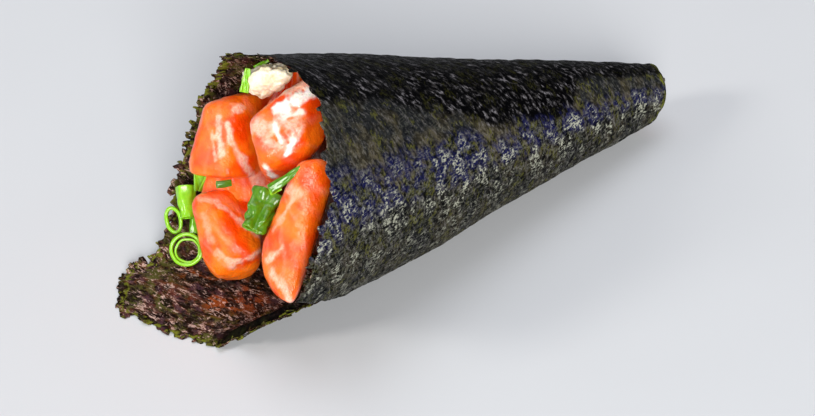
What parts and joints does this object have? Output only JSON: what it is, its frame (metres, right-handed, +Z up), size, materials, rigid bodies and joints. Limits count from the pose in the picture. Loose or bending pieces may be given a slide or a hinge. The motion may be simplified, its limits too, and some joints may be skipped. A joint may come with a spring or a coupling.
{
  "type": "temaki hand roll",
  "caption": "Cone-shaped hand roll lying on its side: a toasted nori sheet wrapped round raw salmon chunks with cream cheese and cut spring onion at the open mouth.",
  "frame": {"origin": "middle of the bounding box's footprint, on the plane the roll lies on", "axes": "+X along the cone from the open mouth to the tip, +Z up, +Y towards the tall back wall of the mouth"},
  "size_m": [0.146, 0.0736, 0.0618],
  "materials": {
    "nori": "toasted seaweed, near-black green, satin",
    "salmon": "raw fish, wet",
    "cream_cheese": "soft cheese, moist",
    "spring_onion": "fresh leaf, waxy"
  },
  "bodies": {
    "root": {"nori_sheet": "nori", "salmon_filling": "salmon", "salmon_chunk_upper_back": "salmon", "salmon_chunk_upper_front": "salmon", "salmon_chunk_lower_middle": "salmon", "salmon_chunk_lower_front": "salmon", "salmon_chunk_top": "salmon", "cream_cheese": "cream_cheese", "spring_onion_stalk": "spring_onion", "spring_onion_stub": "spring_onion", "spring_onion_sliver": "spring_onion", "spring_onion_leaf": "spring_onion", "spring_onion_ring_round": "spring_onion", "spring_onion_ring_oval": "spring_onion"}
  },
  "joints": []
}
